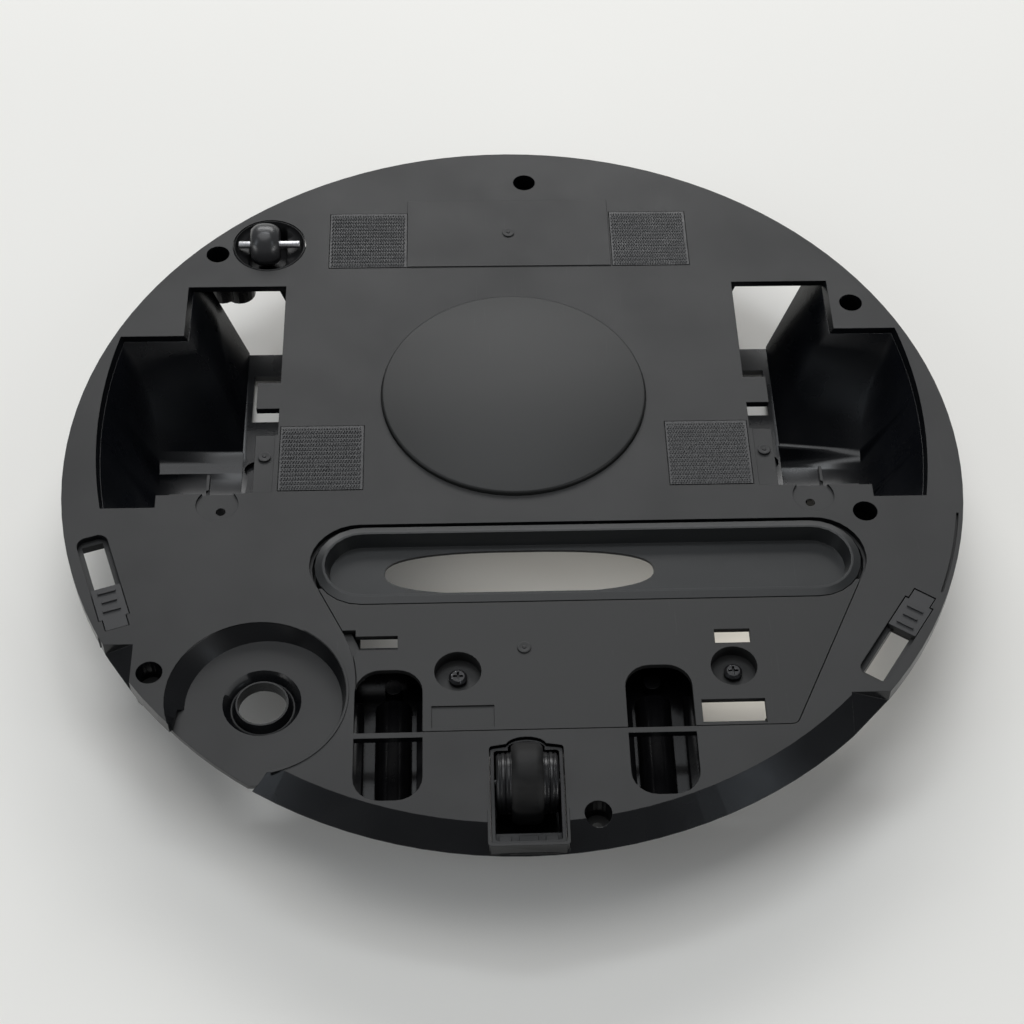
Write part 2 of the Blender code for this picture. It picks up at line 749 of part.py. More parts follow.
def mouth_cover(material):
    """The screwed-down cover that fills the bay in front of the mouth."""
    cover = prism("mouth_cover", bay_outline(-GAP), -COVER_T, 0, material)
    cups = []
    for i, (x, y) in enumerate(COVER_SCREWS):
        foot = -SCREW_CUP_DEPTH - 1.4 * MM
        cups.append(post(f"cup_wall_{i}", (x, y), SCREW_CUP_R + 1.2 * MM, foot, -1 * MM, 28))
    combine(cover, "UNION", cups)
    keep_x0, keep_x1 = MOUTH_X
    cuts = [
        prism(
            "mouth_room",
            stadium(keep_x0 - GAP, keep_x1 + GAP, MOUTH_Y, MOUTH_HALF + GAP),
            -9 * MM,
            PROUD,
        ),
        box("rear_strip", (-80 * MM, 125 * MM), (-48 * MM, -25 * MM), (-9 * MM, PROUD)),
        box("left_end", (-80 * MM, -60 * MM), (-58 * MM, -40 * MM), (-9 * MM, PROUD)),
        box("right_end", (108 * MM, 125 * MM), (-58 * MM, -40 * MM), (-9 * MM, PROUD)),
        box("window_rear", (64.5 * MM, 76.5 * MM), (-83.6 * MM, -78 * MM), (-9 * MM, PROUD)),
        box("window_front", (58 * MM, 79 * MM), (-115.6 * MM, -106.2 * MM), (-9 * MM, PROUD)),
        box("window_left", (-61 * MM, -41.6 * MM), (-83.8 * MM, -78.2 * MM), (-9 * MM, PROUD)),
        box("window_left_notch", (-66 * MM, -55.6 * MM), (-86 * MM, -75.6 * MM), (-9 * MM, PROUD)),
        box("shallow_front", (-30.4 * MM, -10 * MM), (-115 * MM, -106.6 * MM), (-0.5 * MM, PROUD)),
    ]
    for i, (x, y) in enumerate(COVER_SCREWS):
        cuts.append(post(f"cup_{i}", (x, y), SCREW_CUP_R, -SCREW_CUP_DEPTH, PROUD, 28))
        cuts.append(post(f"cup_hole_{i}", (x, y), 1.9 * MM, -9 * MM, -1 * MM, 12))
    for side in (-1, 1):
        cuts.append(prism(f"cover_track_{side}", track_outline(side), -9 * MM, PROUD))
    combine(cover, "DIFFERENCE", cuts)
    smooth(cover)


def cover_screw(name, x, y, material):
    """A pan-head screw with a cross recess, resting on the floor of its cup."""
    seat = -SCREW_CUP_DEPTH + GAP
    screw = turned_z(
        name,
        (x, y),
        [
            (0.5 * MM, seat - 5 * MM),
            (1.3 * MM, seat - 4.2 * MM),
            (1.3 * MM, seat),
            (3.1 * MM, seat + 0.01 * MM),
            (3.1 * MM, seat + 1.1 * MM),
            (2.2 * MM, seat + 1.9 * MM),
        ],
        20,
        material,
    )
    cross = []
    for i in range(2):
        reach = (1.7 * MM, 0.4 * MM) if i == 0 else (0.4 * MM, 1.7 * MM)
        spans = (x - reach[0], x + reach[0]), (y - reach[1], y + reach[1])
        cross.append(box(f"{name}_cross_{i}", *spans, (seat + 0.9 * MM, seat + 3 * MM)))
    combine(screw, "DIFFERENCE", cross)
    smooth(screw)


# ---------- charging contact trays ----------


def contact_tray(label, side, material):
    """The tray under a racetrack opening, with a half-round rail and a locating peg."""
    x = side * TRACK_X
    outer = rectangle(x - 13.5 * MM, x + 13.5 * MM, -143.4 * MM, -81 * MM, 3 * MM)
    tray = prism(f"contact_tray_{label}", outer, -TRAY_DEPTH - 1.8 * MM, -PLATE_T - GAP, material)
    room = rectangle(x - 12.2 * MM, x + 12.2 * MM, -142.3 * MM, -82.3 * MM, 3 * MM)
    combine(tray, "DIFFERENCE", [prism(f"tray_room_in_{label}", room, -TRAY_DEPTH, PROUD)])
    middle = x + side * RAIL_SHIFT
    foot = -TRAY_DEPTH - 0.8 * MM
    crown = [(middle + RAIL_R, foot)]
    for px, pz in arc((middle, -TRAY_DEPTH + 0.3 * MM), RAIL_R, 0, 180, 14):
        crown.append((px, pz))
    crown.append((middle - RAIL_R, foot))
    rail = loft(
        f"tray_rail_{label}",
        [[(px, y, level(pz)) for px, pz in crown] for y in (-143 * MM, RAIL_END_Y)],
    )
    steps = []
    for i, (near, far) in enumerate(((-13 * MM, -8.6 * MM), (8.9 * MM, 13 * MM))):
        steps.append(
            box(f"tray_step_{label}_{i}", (x + near, x + far), (-143 * MM, RAIL_END_Y), (foot, -9.6 * MM))
        )
    peg = post(f"tray_peg_{label}", (middle, -92.6 * MM), 2.9 * MM, foot, -9.2 * MM, 24)
    combine(tray, "UNION", [rail, *steps, peg])
    smooth(tray)


# ---------- front roller ----------


def socket_slant(name, inward):
    """What the slanted front wall of the housing leaves out, below the rim."""
    high, low = -5.8 * MM, -SOCKET_DEPTH - 0.5 * MM
    front, foot = SOCKET_Y[0] + inward, SOCKET_Y[0] + 12 * MM + inward
    profile = ((front, high), (foot, low), (front - 20 * MM, low), (front - 20 * MM, high))
    return loft(name, [[(x, y, level(z)) for y, z in profile] for x in (-20 * MM, 20 * MM)])


def castor_housing(material):
    """The cup under the socket: side notches hold the pin, and a shelf stands at its front."""
    housing = prism("castor_housing", offset(socket_outline(), -GAP), -SOCKET_DEPTH, -1.1 * MM, material)
    rear = SOCKET_Y[1] - 1.2 * MM
    floor = -SOCKET_DEPTH + 1.5 * MM
    room = prism(
        "housing_room", rectangle(-10.5 * MM, 10.5 * MM, -156.8 * MM, rear, 1 * MM), floor, PROUD
    )
    combine(room, "DIFFERENCE", [socket_slant("housing_room_slant", 1.6 * MM)])
    bump = [(5.9 * MM, rear - 6 * MM)]
    bump += [(x, SOCKET_Y[1] + 0.36 * y) for x, y in arc((0, 0), 5.9 * MM, 0, 180, 10)]
    bump.append((-5.9 * MM, rear - 6 * MM))
    axis_y, axis_z = FRONT_AXIS
    notch = FRONT_PIN_R + 0.35 * MM
    cuts = [
        socket_slant("housing_slant", 0),
        room,
        prism("housing_bump", bump, floor, PROUD),
        box("pin_hole", (-13 * MM, 13 * MM), (axis_y - notch, axis_y + notch), (axis_z - notch, axis_z + notch)),
    ]
    combine(housing, "DIFFERENCE", cuts)
    pad_y = (-156 * MM, -152.8 * MM)
    pad_z = (-6.1 * MM, -4.9 * MM)
    shelf = [box("housing_shelf", (-11 * MM, 11 * MM), (-156.5 * MM, -151.4 * MM), (-7.4 * MM, -5.9 * MM))]
    spans = (("left", -9.4 * MM, -5.4 * MM), ("middle", -3 * MM, 3 * MM), ("right", 5.4 * MM, 9.4 * MM))
    for name, *x in spans:
        shelf.append(box(f"shelf_pad_{name}", x, pad_y, pad_z))
    combine(housing, "UNION", shelf)
    smooth(housing)


def place_on_axis(obj, x, y, z):
    obj.location = (x, y, level(z))


def ringed_profile(half, inner_half, radius, groove):
    """One shoulder of the roller: from its inner end outward, with two shallow grooves."""
    width = half - inner_half
    profile = []
    for share, drop in ((0.0, 0), (0.24, 0), (0.28, 1), (0.36, 1), (0.40, 0), (0.62, 0.2), (0.66, 1.2)):
        profile.append((inner_half + width * share, radius - groove * drop))
    profile += [
        (inner_half + width * 0.74, radius - groove * 1.2),
        (inner_half + width * 0.78, radius - groove * 0.5),
        (half - 0.5 * MM, radius - groove),
        (half, radius - groove - 0.7 * MM),
    ]
    return profile


def front_roller(hub_material, tread_material, pin_material):
    y, z = FRONT_AXIS
    outer = ringed_profile(ROLLER_HALF, TREAD_HALF, SHOULDER_R, 0.35 * MM)
    core_r = TREAD_R - 3 * MM
    profile = [(-x, r) for x, r in reversed(outer)]
    profile += [(-TREAD_HALF + 0.01 * MM, core_r), (TREAD_HALF - 0.01 * MM, core_r)]
    profile += outer
    hub = turned_x("front_roller", profile, 32, hub_material)
    bore = turned_x(
        "front_roller_bore",
        [(-ROLLER_HALF - PROUD, FRONT_PIN_R + GAP), (ROLLER_HALF + PROUD, FRONT_PIN_R + GAP)],
        16,
    )
    place_on_axis(hub, 0, y, z)
    place_on_axis(bore, 0, y, z)
    combine(hub, "DIFFERENCE", [bore])
    smooth(hub)

    half = TREAD_HALF - 0.35 * MM
    tread = turned_x(
        "front_roller_tread",
        [
            (-half, TREAD_R - 1.3 * MM),
            (-half + 0.9 * MM, TREAD_R - 0.35 * MM),
            (-half + 2.4 * MM, TREAD_R),
            (half - 2.4 * MM, TREAD_R),
            (half - 0.9 * MM, TREAD_R - 0.35 * MM),
            (half, TREAD_R - 1.3 * MM),
        ],
        40,
        tread_material,
    )
    seat = turned_x("tread_seat", [(-half - PROUD, core_r + GAP), (half + PROUD, core_r + GAP)], 40)
    place_on_axis(tread, 0, y, z)
    place_on_axis(seat, 0, y, z)
    combine(tread, "DIFFERENCE", [seat])
    smooth(tread)

    pin = turned_x(
        "front_axle",
        [(-FRONT_PIN_HALF, FRONT_PIN_R - 0.3 * MM), (-FRONT_PIN_HALF + 0.3 * MM, FRONT_PIN_R),
         (FRONT_PIN_HALF - 0.3 * MM, FRONT_PIN_R), (FRONT_PIN_HALF, FRONT_PIN_R - 0.3 * MM)],
        16,
        pin_material,
    )
    place_on_axis(pin, 0, y, z)
    smooth(pin)


# ---------- rear roller ----------


def rear_cup(material):
    """The round cup that carries the small rear roller: four quarter blocks around a slot."""
    x, y = CUP
    cup = turned_z(
        "rear_roller_cup",
        CUP,
        [(CUP_R - 2.6 * MM, -CUP_DEPTH), (CUP_R, -CUP_DEPTH + 3 * MM), (CUP_R, -0.2 * MM), (CUP_R - 0.4 * MM, 0)],
        40,
        material,
    )
    dish = turned_z(
        "cup_dish",
        CUP,
        [
            (CUP_R - 5.5 * MM, -2.4 * MM),
            (CUP_R - 2.2 * MM, -1.5 * MM),
            (CUP_R - 0.5 * MM, -0.15 * MM),
            (CUP_R - 0.5 * MM, PROUD),
        ],
        40,
    )
    combine(cup, "DIFFERENCE", [dish])
    slot_half = 7.1 * MM
    slot_reach = CUP_R - 1.4 * MM
    slot = []
    for start, end in ((-58, 58), (122, 238)):
        for px, py in arc((0, 0), slot_reach, start + 90, end + 90, 8):
            slot.append((x - 0.6 * MM + max(-slot_half, min(slot_half, px)), y + py))
    pin_half = REAR_PIN_HALF + 0.5 * MM
    pin_room = REAR_PIN_R + 0.35 * MM
    cuts = [
        prism("cup_slot", list(dict.fromkeys(slot)), -CUP_DEPTH + 1.3 * MM, PROUD),
        box(
            "cup_notch",
            (x - pin_half, x + pin_half),
            (y - pin_room, y + pin_room),
            (REAR_AXIS_Z - pin_room, 3 * MM),
        ),
    ]
    combine(cup, "DIFFERENCE", cuts)
    smooth(cup)


def rear_roller(material, pin_material):
    half = REAR_ROLLER_HALF
    radius = REAR_ROLLER_R
    profile = []
    for i in range(-5, 6):
        share = i / 5
        profile.append((half * share, radius - 2.2 * MM * abs(share) ** 3))
    roller = turned_x("rear_roller", profile, 32, material)
    bore = turned_x(
        "rear_roller_bore", [(-half - PROUD, REAR_PIN_R + GAP), (half + PROUD, REAR_PIN_R + GAP)], 16
    )
    place_on_axis(roller, REAR_ROLLER_X, CUP[1], REAR_AXIS_Z)
    place_on_axis(bore, REAR_ROLLER_X, CUP[1], REAR_AXIS_Z)
    combine(roller, "DIFFERENCE", [bore])
    smooth(roller)
    pin = turned_x(
        "rear_axle", [(-REAR_PIN_HALF, REAR_PIN_R), (REAR_PIN_HALF, REAR_PIN_R)], 16, pin_material
    )
    place_on_axis(pin, CUP[0], CUP[1], REAR_AXIS_Z)
    smooth(pin)


# ---------- sliding latches ----------


def latch(side, material, foot_material):
    """A slider with finger ridges, and the foot under the shell that keeps it in its pocket."""
    half = LATCH_WIDTH / 2 - GAP
    narrow = half - 1.2 * MM
    step = 4.6 * MM
    end = SLIDER_LENGTH
    slider = prism(
        f"latch_slider_{side}",
        latch_outline(
            side,
            [(GAP, narrow), (step + GAP, narrow), (step + GAP + 0.01 * MM, half), (end, half)],
        ),
        -LATCH_DEPTH + GAP,
        -0.25 * MM,
        material,
    )
    ribs = []
    for i, (back, reach) in enumerate(((2.4, 3.1), (6.3, 2.6), (10.2, 3.0))):
        near = end - back * MM
        spans = [(near - 0.35 * MM, reach * MM), (near + 0.35 * MM, reach * MM)]
        ribs.append(prism(f"rib_{side}_{i}", latch_outline(side, spans), -0.6 * MM, 0.35 * MM))
    tongue_half = LATCH_WINDOW / 2 - GAP
    tongue = [(5 * MM, tongue_half), (end - 2 * MM, tongue_half)]
    ribs.append(prism(f"tongue_{side}", latch_outline(side, tongue), -SKIRT_H - 0.4 * MM, -1 * MM))
    combine(slider, "UNION", ribs)
    smooth(slider)
    foot_spans = [(5.5 * MM, half), (end - 2.5 * MM, half)]
    prism(
        f"latch_foot_{side}",
        latch_outline(side, foot_spans),
        -SKIRT_H - 2.2 * MM,
        -SKIRT_H - 0.4 * MM - GAP,
        foot_material,
    )


# ---------- the whole base ----------


def main():
    clear_scene()
    shell_plastic = make_material("shell_plastic", (0.045, 0.045, 0.046), 0.45)
    gloss_plastic = make_material("gloss_plastic", (0.012, 0.013, 0.015), 0.22)
    cover_plastic = make_material("cover_plastic", (0.04, 0.04, 0.041), 0.42)
    roller_plastic = make_material("roller_plastic", (0.02, 0.02, 0.022), 0.35)
    tread_rubber = make_material("tread_rubber", (0.03, 0.03, 0.03), 0.6)
    hook_nylon = make_material("hook_nylon", (0.018, 0.018, 0.019), 0.7)
    steel = make_material("steel", (0.55, 0.55, 0.56), 0.3, 1.0)

    bottom_shell(shell_plastic)
    wheel_arch("left", -1, gloss_plastic)
    wheel_arch("right", 1, gloss_plastic)
    suction_mouth(gloss_plastic)
    mouth_cover(cover_plastic)
    for label, (x, y) in zip(("left", "right"), COVER_SCREWS):
        cover_screw(f"cover_screw_{label}", x, y, steel)
    contact_tray("left", -1, gloss_plastic)
    contact_tray("right", 1, gloss_plastic)
    castor_housing(gloss_plastic)
    front_roller(roller_plastic, tread_rubber, steel)
    rear_cup(gloss_plastic)
    rear_roller(roller_plastic, steel)
    for side in LATCHES:
        latch(side, gloss_plastic, gloss_plastic)
    cap = turned_z(
        "round_cap",
        CAP,
        [
            (CAP_R, -1.2 * MM + GAP),
            (CAP_R, CAP_PROUD - 0.6 * MM),
            (CAP_R - 0.2 * MM, CAP_PROUD - 0.2 * MM),
            (CAP_R - 0.7 * MM, CAP_PROUD),
        ],
        72,
        cover_plastic,
    )
    smooth(cap)
    for name, (x, y) in PATCHES.items():
        half = PATCH_SIZE / 2
        box(name, (x - half, x + half), (y - half, y + half), (-0.6 * MM, 0.15 * MM), hook_nylon)


main()
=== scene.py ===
"""Looks of the robot vacuum base: materials, moulded details, hook fields, floor and light.

Each CAD node but the hook patches is shown by a welded copy, so that its curves shade smoothly. The
copies of the rollers, the tread, the rear pin and the latches get rounded edges too. Small moulded
details that carry no load, such as the hooks of the patches, are added as mesh pieces that ride on
the CAD bodies.
"""

import math
import random

import bmesh
import bpy
from mathutils import Matrix, Vector


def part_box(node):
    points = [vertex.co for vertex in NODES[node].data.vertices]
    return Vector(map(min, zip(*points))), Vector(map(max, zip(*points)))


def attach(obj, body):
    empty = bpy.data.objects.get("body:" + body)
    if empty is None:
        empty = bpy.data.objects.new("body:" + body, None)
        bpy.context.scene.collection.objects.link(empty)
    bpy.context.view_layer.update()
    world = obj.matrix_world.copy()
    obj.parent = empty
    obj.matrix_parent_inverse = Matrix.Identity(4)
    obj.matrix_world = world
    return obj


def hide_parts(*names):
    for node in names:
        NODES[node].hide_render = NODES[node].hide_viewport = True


MM = 0.001

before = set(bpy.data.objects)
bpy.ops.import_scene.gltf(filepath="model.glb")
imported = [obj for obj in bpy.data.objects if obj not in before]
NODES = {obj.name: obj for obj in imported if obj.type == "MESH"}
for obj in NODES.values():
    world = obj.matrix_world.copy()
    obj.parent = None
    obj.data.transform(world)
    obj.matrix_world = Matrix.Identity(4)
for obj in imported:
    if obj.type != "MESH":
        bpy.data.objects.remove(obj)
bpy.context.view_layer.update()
PLATE_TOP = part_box("bottom_shell")[1].z

# Camera: where it stands, in metres, and how far it looks down, turns and leans, in degrees
CAMERA_SPOT = (-16.9 * MM, -488.4 * MM, 574.8 * MM + PLATE_TOP)
CAMERA_DOWN, CAMERA_TURN, CAMERA_ROLL = 51.518, 5.173, 3.0856
CAMERA_LENS = 74.03
CAMERA_SHIFT = (-0.0745, 0.0143)

# Welded copies of CAD nodes
WELD_DISTANCE = 0.004 * MM
FLAT_WITHIN = math.radians(1)  # faces this near to one plane become one face
BEVEL_OVER = math.radians(50)  # only edges sharper than this are rounded
LARGE_FACE_WEIGHT = 100  # 50 is neutral, and 100 favours large faces most
CURVED = 34  # degrees between faces that still shade as one curve, on a piece that is mostly curved

# Hook fields
HOOK_PITCH = 0.98 * MM
HOOK_MARGIN = 0.7 * MM
HOOK_HEIGHTS = (0.5, 0.62)  # millimetres
HOOK_LEAN = 0.62 * MM
HOOK_SINK = 0.05 * MM
HOOK_OFF_LINE = 0.06  # millimetres
HOOK_OFF_HEADING = 14  # degrees

GATE_STEPS = 24
GATE_SMOOTH = 40  # degrees

FLOOR_HALF = 6


# ---------- material helpers ----------


class Shader:
    """A Principled material and short ways to add nodes to it."""

    def __init__(self, name, roughness, metallic=0.0, specular=0.5, coat=0.0):
        self.material = bpy.data.materials.new(name)
        self.material.use_nodes = True
        self.tree = self.material.node_tree
        self.principled = self.tree.nodes["Principled BSDF"]
        self.principled.inputs["Roughness"].default_value = roughness
        self.principled.inputs["Metallic"].default_value = metallic
        self.principled.inputs["Specular IOR Level"].default_value = specular
        self.principled.inputs["Coat Weight"].default_value = coat
        self.coords = self.tree.nodes.new("ShaderNodeTexCoord").outputs["Object"]
        self.normal = None

    def node(self, kind, inputs=(), **settings):
        made = self.tree.nodes.new(kind)
        for key, value in settings.items():
            setattr(made, key, value)
        for key, value in dict(inputs).items():
            if isinstance(value, bpy.types.NodeSocket):
                self.tree.links.new(value, made.inputs[key])
            else:
                made.inputs[key].default_value = value
        return made

    def noise(self, scale, detail=2.0, roughness=0.5, vector=None):
        made = self.node(
            "ShaderNodeTexNoise",
            {
                "Vector": vector or self.coords,
                "Scale": scale,
                "Detail": detail,
                "Roughness": roughness,
            },
        )
        return made.outputs["Fac"]

    def stretch(self, scale, rotation=(0, 0, 0)):
        made = self.node(
            "ShaderNodeMapping",
            {"Vector": self.coords, "Scale": scale, "Rotation": rotation},
        )
        return made.outputs["Vector"]

    def ramp(self, value, low, high, to_low=0.0, to_high=1.0):
        made = self.node(
            "ShaderNodeMapRange",
            {
                "Value": value,
                "From Min": low,
                "From Max": high,
                "To Min": to_low,
                "To Max": to_high,
            },
        )
        return made.outputs["Result"]

    def mix(self, factor, first, second):
        made = self.node("ShaderNodeMix", {"Factor": factor}, data_type="RGBA")
        for socket, value in ((made.inputs[6], first), (made.inputs[7], second)):
            if isinstance(value, bpy.types.NodeSocket):
                self.tree.links.new(value, socket)
            else:
                socket.default_value = (*value, 1)
        return made.outputs[2]

    def blend(self, factor, first, second):
        made = self.node("ShaderNodeMix", {"Factor": factor}, data_type="FLOAT")
        for socket, value in ((made.inputs[2], first), (made.inputs[3], second)):
            if isinstance(value, bpy.types.NodeSocket):
                self.tree.links.new(value, socket)
            else:
                socket.default_value = value
        return made.outputs[0]

    def math(self, operation, first, second):
        made = self.node("ShaderNodeMath", operation=operation)
        for socket, value in zip(made.inputs, (first, second)):
            if isinstance(value, bpy.types.NodeSocket):
                self.tree.links.new(value, socket)
            else:
                socket.default_value = value
        return made.outputs[0]

    def bump(self, height, distance, strength=1.0):
        inputs = {"Height": height, "Distance": distance, "Strength": strength}
        if self.normal:
            inputs["Normal"] = self.normal
        self.normal = self.node("ShaderNodeBump", inputs).outputs["Normal"]

    def soft_edges(self, radius):
        """Rounds the look of sharp moulded edges."""
        self.normal = self.node("ShaderNodeBevel", {"Radius": radius}, samples=4).outputs["Normal"]

    def set(self, key, socket):
        self.tree.links.new(socket, self.principled.inputs[key])

    def done(self):
        if self.normal:
            self.set("Normal", self.normal)
        return self.material


def specks(s, scale, amount):
    """Sparse bright dots, as of dust: 1 on a dot and 0 elsewhere."""
    cells = s.node("ShaderNodeTexVoronoi", {"Vector": s.coords, "Scale": scale, "Randomness": 1.0})
    near = s.ramp(cells.outputs["Distance"], 0.05, 0.1, 1.0, 0.0)
    chosen = s.math("GREATER_THAN", cells.outputs["Color"], 1 - amount)
    return s.math("MULTIPLY", near, chosen)


def scratches(s, angle, amount):
    """Hairline rubbing marks in one direction."""
    lines = s.noise(60, 3, 0.6, s.stretch((26, 0.7, 1), (0, 0, math.radians(angle))))
    places = s.noise(14, 2)
    marks = s.ramp(lines, 0.66, 0.7)
    return s.math("MULTIPLY", marks, s.ramp(places, 1 - amount, 1.05 - amount))


def textured_shell():
    """Spark-textured plate, with its recess walls and its front slope left polished and coloured
    near black as painted shade.
    """
    s = Shader("textured_shell", 0.5, specular=0.34)
    facing = s.node("ShaderNodeNewGeometry").outputs["Normal"]
    upward = s.node("ShaderNodeSeparateXYZ", {"Vector": facing}).outputs["Z"]
    # 1 on the upward-facing matt plate, 0 on the walls and the slope, which take painted shade.
    matt_unshaded = s.ramp(upward, 0.88, 0.92)
    s.soft_edges(0.28 * MM)
    grain = s.noise(2600, 2, 0.6)
    s.bump(s.math("MULTIPLY", grain, matt_unshaded), 0.05 * MM, 0.5)
    cloud = s.noise(9, 3, 0.55)
    matt_color = s.mix(s.ramp(cloud, 0.3, 0.7), (0.0135, 0.0136, 0.0138), (0.0175, 0.0176, 0.0176))
    marks = s.math("MULTIPLY", scratches(s, 24, 0.42), 0.35)
    matt_color = s.mix(marks, matt_color, (0.04, 0.04, 0.04))
    # Faces that do not point up take a near-black colour: painted shade on the recess walls and the
    # front slope, besides their polished finish.
    color = s.mix(matt_unshaded, (0.003, 0.0033, 0.004), matt_color)
    dust = s.math("MULTIPLY", specks(s, 330, 0.012), matt_unshaded)
    s.set("Base Color", s.mix(dust, color, (0.1, 0.097, 0.093)))
    rough = s.ramp(s.noise(35, 4), 0.3, 0.7, 0.5, 0.58)
    polished = s.ramp(s.noise(50, 2), 0.3, 0.7, 0.2, 0.3)
    s.set("Roughness", s.blend(matt_unshaded, polished, rough))
    return s.done()


def satin_cover(name, dark, light, rough_low, rough_high):
    """A smoother moulding than the plate: fine grain and faint flow marks."""
    s = Shader(name, rough_low, specular=0.34)
    s.soft_edges(0.25 * MM)
    s.bump(s.noise(3200, 2, 0.5), 0.03 * MM, 0.35)
    flow = s.noise(7, 4, 0.6, s.stretch((1, 2.6, 1), (0, 0, 0.5)))
    color = s.mix(s.ramp(flow, 0.3, 0.7), dark, light)
    marks = s.math("MULTIPLY", scratches(s, -31, 0.45), 0.3)
    s.set("Base Color", s.mix(marks, color, (0.035, 0.035, 0.035)))
    s.set("Roughness", s.ramp(flow, 0.25, 0.75, rough_low, rough_high))
    return s.done()


def gloss_black(name, dark, light, rough_low, rough_high, specular=0.36):
    """Polished black moulding with a faint waviness, and dust in its lee."""
    s = Shader(name, rough_low, specular=specular)
    s.soft_edges(0.3 * MM)
    s.bump(s.noise(45, 2, 0.4), 0.12 * MM, 0.35)
    s.bump(s.noise(1500, 2), 0.01 * MM, 0.3)
    cloud = s.noise(22, 3)
    color = s.mix(s.ramp(cloud, 0.3, 0.7), dark, light)
    s.set("Base Color", s.mix(specks(s, 420, 0.02), color, (0.12, 0.12, 0.118)))
    s.set("Roughness", s.ramp(s.noise(60, 3), 0.3, 0.7, rough_low, rough_high))
    return s.done()


def rubber():
    s = Shader("tread_rubber", 0.62, specular=0.2)
    s.bump(s.noise(1800, 3, 0.6), 0.05 * MM, 0.6)
    wear = s.noise(130, 3, 0.6, s.stretch((0.3, 1, 1)))
    worn = s.ramp(wear, 0.4, 0.7)
    s.set("Base Color", s.mix(worn, (0.006, 0.006, 0.006), (0.018, 0.0175, 0.017)))
    s.set("Roughness", s.ramp(wear, 0.3, 0.7, 0.5, 0.7))
    return s.done()


def turned_steel():
    s = Shader("turned_steel", 0.3, metallic=1.0)
    rings = s.noise(900, 3, 0.6, s.stretch((6, 1, 1)))
    s.bump(rings, 0.02 * MM, 0.4)
    s.set("Base Color", s.mix(s.ramp(rings, 0.3, 0.7), (0.42, 0.42, 0.43), (0.66, 0.66, 0.67)))
    s.set("Roughness", s.ramp(rings, 0.3, 0.7, 0.24, 0.42))
    return s.done()


def dark_screw():
    """Blackened steel with the plating worn off in tiny spots."""
    s = Shader("dark_screw", 0.4, specular=0.5)
    blotch = s.noise(900, 3, 0.6)
    s.bump(blotch, 0.03 * MM, 0.4)
    worn = s.ramp(s.noise(1500, 2, 0.5), 0.66, 0.72)
    s.set("Base Color", s.mix(worn, (0.012, 0.012, 0.013), (0.35, 0.35, 0.36)))
    s.set("Metallic", s.blend(worn, 0.4, 1.0))
    s.set("Roughness", s.ramp(blotch, 0.3, 0.7, 0.35, 0.55))
    return s.done()


def hook_nylon(name, dark, light):
    s = Shader(name, 0.42, specular=0.5)
    tint = s.noise(240, 2)
    s.bump(s.noise(2400, 2), 0.03 * MM, 0.4)
    s.set("Base Color", s.mix(s.ramp(tint, 0.35, 0.65), dark, light))
    s.set("Roughness", s.ramp(tint, 0.3, 0.7, 0.36, 0.55))
    return s.done()


# ---------- mesh helpers ----------


def add_piece(name, bm, material, body="base", smooth=None):
    mesh = bpy.data.meshes.new(name)
    bm.to_mesh(mesh)
    bm.free()
    obj = bpy.data.objects.new(name, mesh)
    bpy.context.scene.collection.objects.link(obj)
    mesh.materials.append(material)
    if smooth:
        mesh.shade_smooth()
        mesh.set_sharp_from_angle(angle=math.radians(smooth))
    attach(obj, body)
    return obj


def paint(node, material):
    """Gives a CAD node its finish."""
    slots = NODES[node].data.materials
    slots.clear()
    slots.append(material)


def refined(node, material, body, angle, bevel=0.0, flats=False):
    """A copy of a CAD node with shared vertices, so that its curves shade smoothly.

    angle is the widest angle, in degrees, between faces that still shade as one curve.
    flats keeps the large flat faces flat up to their edges, for a piece that is mostly flat.
    """
    source = NODES[node]
    bm = bmesh.new()
    bm.from_mesh(source.data)
    bm.transform(source.matrix_world)
    bmesh.ops.remove_doubles(bm, verts=bm.verts, dist=WELD_DISTANCE)
    bmesh.ops.dissolve_limit(bm, angle_limit=FLAT_WITHIN, verts=bm.verts, edges=bm.edges)
    bmesh.ops.recalc_face_normals(bm, faces=bm.faces)
    if bevel:
        closed = [edge for edge in bm.edges if len(edge.link_faces) == 2]
        sharp = [edge for edge in closed if edge.calc_face_angle(0) > BEVEL_OVER]
        bmesh.ops.bevel(
            bm,
            geom=sharp,
            offset=bevel,
            segments=2,
            profile=0.5,
            affect="EDGES",
            clamp_overlap=True,
        )
    piece = add_piece(f"{node}_look", bm, material, body, smooth=angle)
    if flats:
        weighted = piece.modifiers.new("weighted_normals", "WEIGHTED_NORMAL")
        weighted.keep_sharp = True
        weighted.weight = LARGE_FACE_WEIGHT
    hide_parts(node)
    return piece


def hook(bm, spot, heading, height, lean):
    """One moulded hook: a tapered stem that bends over into a short crook.

    Each step of its path is a share of lean, a share of height and a half width in millimetres.
    """
    along = Vector((math.cos(heading), math.sin(heading), 0))
    side = Vector((-along.y, along.x, 0))
    path = (
        (0.0, 0.0, 0.26),
        (0.08, 0.45, 0.2),
        (0.3, 0.85, 0.17),
        (0.62, 1.0, 0.14),
        (0.88, 0.8, 0.08),
    )
    rings = []
    for out, up, half in path:
        middle = spot + along * out * lean + Vector((0, 0, up * height))
        ring = []
        for a, b in ((-1, -1), (1, -1), (1, 1), (-1, 1)):
            ring.append(bm.verts.new(middle + side * a * half * MM + along * b * half * MM * 0.8))
        rings.append(ring)
    for lower, upper in zip(rings, rings[1:]):
        for i in range(4):
            j = (i + 1) % 4
            bm.faces.new((lower[i], lower[j], upper[j], upper[i]))
    bm.faces.new(rings[-1])
    bm.faces.new(list(reversed(rings[0])))


